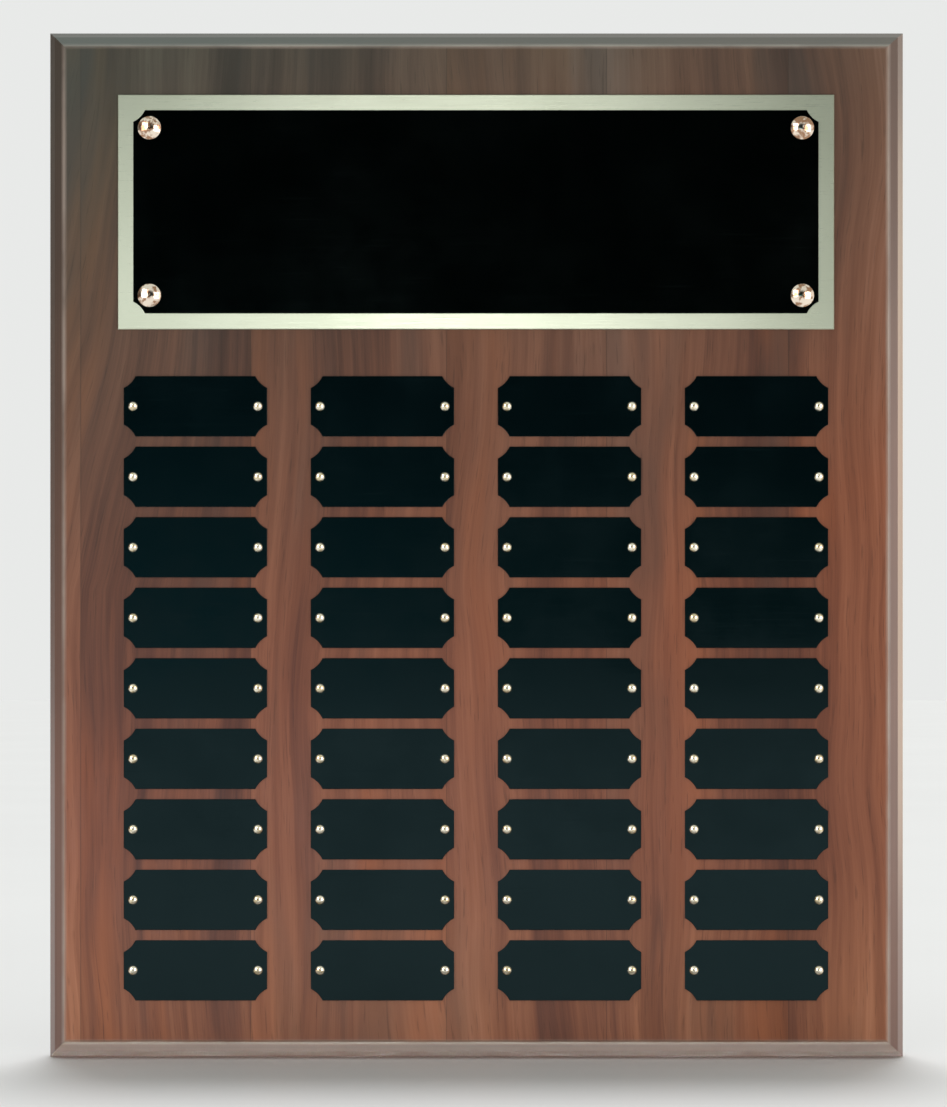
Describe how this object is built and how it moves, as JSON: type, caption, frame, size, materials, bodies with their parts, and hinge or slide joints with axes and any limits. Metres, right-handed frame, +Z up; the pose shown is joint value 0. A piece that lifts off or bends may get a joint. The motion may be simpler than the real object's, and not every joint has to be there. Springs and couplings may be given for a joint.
{
  "type": "award plaque",
  "caption": "Wall plaque: bevelled walnut-finish board with a framed black header plate above a grid of small pinned black name plates; keyhole hangers let into the back.",
  "frame": {"origin": "centre of the board's back face, the face that lies against the wall", "axes": "+X to the right and +Z up for someone facing the plaque; the front looks along -Y and the back face looks along +Y"},
  "size_m": [0.381, 0.0234, 0.4572],
  "materials": {
    "walnut_veneer": "satin lacquered walnut, grain running up the board",
    "lacquered_edge": "stained and lacquered moulded edge over fibreboard",
    "backing_laminate": "matt dark brown paper-faced backing laminate",
    "satin_brass": "satin, finely brushed pale brass",
    "black_header": "gloss black lacquer on brass",
    "black_nameplate": "gloss blue-black lacquer on brass",
    "polished_brass": "polished",
    "pin_brass": "polished",
    "zinc_steel": "zinc plated",
    "screw_steel": "yellow zinc plated"
  },
  "bodies": {
    "root": {"board_core": "lacquered_edge", "face_veneer": "walnut_veneer", "back_laminate": "backing_laminate", "header_backing_plate": "satin_brass", "header_plate": "black_header", "header_tacks": "polished_brass", "nameplate_r1_c1": "black_nameplate", "nameplate_r2_c1": "black_nameplate", "nameplate_r3_c1": "black_nameplate", "nameplate_r4_c1": "black_nameplate", "nameplate_r5_c1": "black_nameplate", "nameplate_r6_c1": "black_nameplate", "nameplate_r7_c1": "black_nameplate", "nameplate_r8_c1": "black_nameplate", "nameplate_r9_c1": "black_nameplate", "nameplate_r1_c2": "black_nameplate", "nameplate_r2_c2": "black_nameplate", "nameplate_r3_c2": "black_nameplate", "nameplate_r4_c2": "black_nameplate", "nameplate_r5_c2": "black_nameplate", "nameplate_r6_c2": "black_nameplate", "nameplate_r7_c2": "black_nameplate", "nameplate_r8_c2": "black_nameplate", "nameplate_r9_c2": "black_nameplate", "nameplate_r1_c3": "black_nameplate", "nameplate_r2_c3": "black_nameplate", "nameplate_r3_c3": "black_nameplate", "nameplate_r4_c3": "black_nameplate", "nameplate_r5_c3": "black_nameplate", "nameplate_r6_c3": "black_nameplate", "nameplate_r7_c3": "black_nameplate", "nameplate_r8_c3": "black_nameplate", "nameplate_r9_c3": "black_nameplate", "nameplate_r1_c4": "black_nameplate", "nameplate_r2_c4": "black_nameplate", "nameplate_r3_c4": "black_nameplate", "nameplate_r4_c4": "black_nameplate", "nameplate_r5_c4": "black_nameplate", "nameplate_r6_c4": "black_nameplate", "nameplate_r7_c4": "black_nameplate", "nameplate_r8_c4": "black_nameplate", "nameplate_r9_c4": "black_nameplate", "nameplate_pins_column_1": "pin_brass", "nameplate_pins_column_2": "pin_brass", "nameplate_pins_column_3": "pin_brass", "nameplate_pins_column_4": "pin_brass", "keyhole_hanger_left": "zinc_steel", "keyhole_hanger_right": "zinc_steel", "hanger_screws": "screw_steel"}
  },
  "joints": []
}
